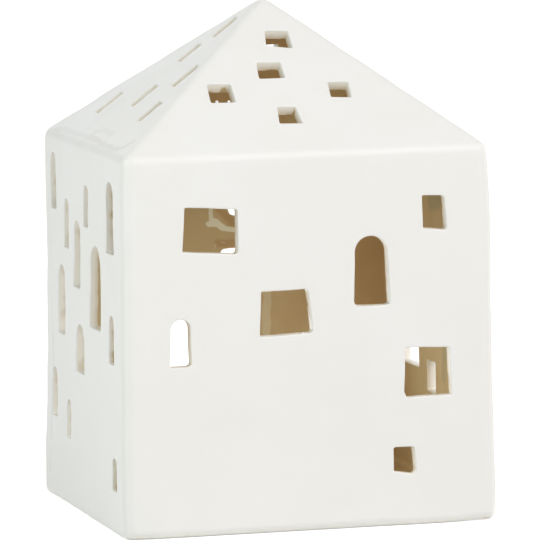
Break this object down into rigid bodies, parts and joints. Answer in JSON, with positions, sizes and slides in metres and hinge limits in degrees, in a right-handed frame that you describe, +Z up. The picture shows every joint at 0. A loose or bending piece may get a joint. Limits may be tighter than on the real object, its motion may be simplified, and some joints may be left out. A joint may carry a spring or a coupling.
{
  "type": "tealight house",
  "caption": "Hollow white glazed ceramic house with hand-cut window and roof openings and a back door for the tealight that lights it from inside.",
  "frame": {"origin": "centre of the house's footprint, on the surface it stands on", "axes": "+Z up to the roof's peak, +X to the right along the front wall, -Y out of the front wall with the back door at +Y"},
  "size_m": [0.1238, 0.1084, 0.1658],
  "materials": {
    "glazed_stoneware": "satin white glaze outside, bare tan clay inside",
    "cup_aluminium": "pressed foil, bright satin",
    "paraffin_wax": "waxy, slightly translucent",
    "tinned_steel": "thin tinned sheet",
    "cotton_wick": "braided cotton, waxed"
  },
  "bodies": {
    "house": {"house_shell": "glazed_stoneware"},
    "tealight": {"tealight_cup": "cup_aluminium", "candle_wax": "paraffin_wax", "wick_sustainer": "tinned_steel", "wick": "cotton_wick"}
  },
  "joints": [
    {"name": "tealight_out", "type": "slide", "parent": "house", "child": "tealight", "axis": [0, 1, 0], "range_m": [0, 0.085]}
  ]
}
